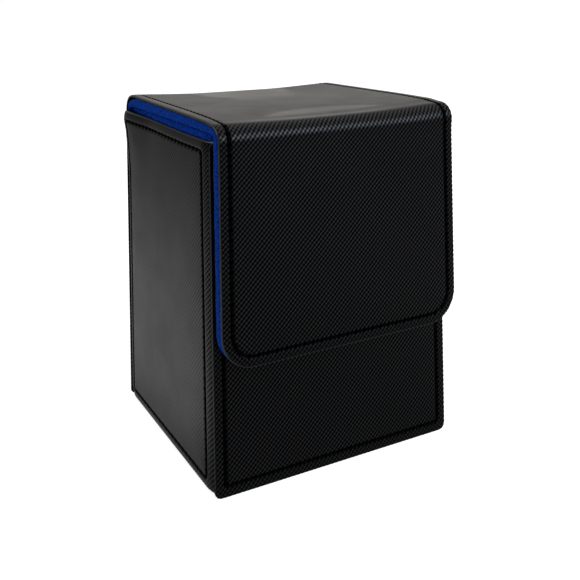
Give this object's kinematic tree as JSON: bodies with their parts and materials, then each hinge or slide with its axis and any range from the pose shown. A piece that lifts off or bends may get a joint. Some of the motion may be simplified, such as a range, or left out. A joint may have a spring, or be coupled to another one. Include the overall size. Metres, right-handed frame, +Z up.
{
  "type": "card deck box",
  "caption": "Upright flip-top deck box in stitched black leather with a blue lined tray, a hinged lid and a fold-down front flap held shut by magnets.",
  "frame": {"origin": "on the floor, below the middle of the closed box", "axes": "+X to the box's right as its front is faced from -Y, +Y towards the back, +Z up; the front flap faces -Y"},
  "size_m": [0.08, 0.0816, 0.1048],
  "materials": {
    "black_leather": "satin",
    "blue_lining": "matte",
    "greyboard": "matte",
    "sewing_thread": "satin",
    "magnet": "satin"
  },
  "bodies": {
    "box": {"base_leather": "black_leather", "tray_base_board": "greyboard", "tray_front_board": "greyboard", "tray_back_board": "greyboard", "tray_left_board": "greyboard", "tray_right_board": "greyboard", "lining_floor": "blue_lining", "lining_front": "blue_lining", "lining_back": "blue_lining", "lining_left": "blue_lining", "lining_right": "blue_lining", "left_panel_leather": "black_leather", "left_panel_board": "greyboard", "left_panel_thread": "sewing_thread", "right_panel_leather": "black_leather", "right_panel_board": "greyboard", "right_panel_thread": "sewing_thread", "front_panel_leather": "black_leather", "front_panel_board": "greyboard", "front_panel_thread": "sewing_thread", "keeper_magnet_left": "magnet", "keeper_magnet_right": "magnet", "back_leather": "black_leather", "back_board": "greyboard", "back_thread_left": "sewing_thread", "back_thread_right": "sewing_thread", "hinge_leather": "black_leather", "hinge_lining": "blue_lining"},
    "lid": {"lid_leather": "black_leather", "lid_board": "greyboard", "lid_lining": "blue_lining", "lid_thread_left": "sewing_thread", "lid_thread_right": "sewing_thread", "fold_leather": "black_leather", "fold_lining": "blue_lining"},
    "flap": {"flap_leather": "black_leather", "flap_board": "greyboard", "flap_lining": "blue_lining", "flap_thread": "sewing_thread", "flap_magnet_left": "magnet", "flap_magnet_right": "magnet"}
  },
  "joints": [
    {"name": "lid_hinge", "type": "hinge", "parent": "box", "child": "lid", "pos_m": [0, 0.03989, 0.10394], "axis": [-1, 0, 0], "range_deg": [0, 175], "deforming": ["hinge_leather", "hinge_lining"]},
    {"name": "flap_fold", "type": "hinge", "parent": "lid", "child": "flap", "pos_m": [0, -0.03968, 0.10373], "axis": [-1, 0, 0], "range_deg": [0, 90], "deforming": ["fold_leather", "fold_lining"]}
  ]
}
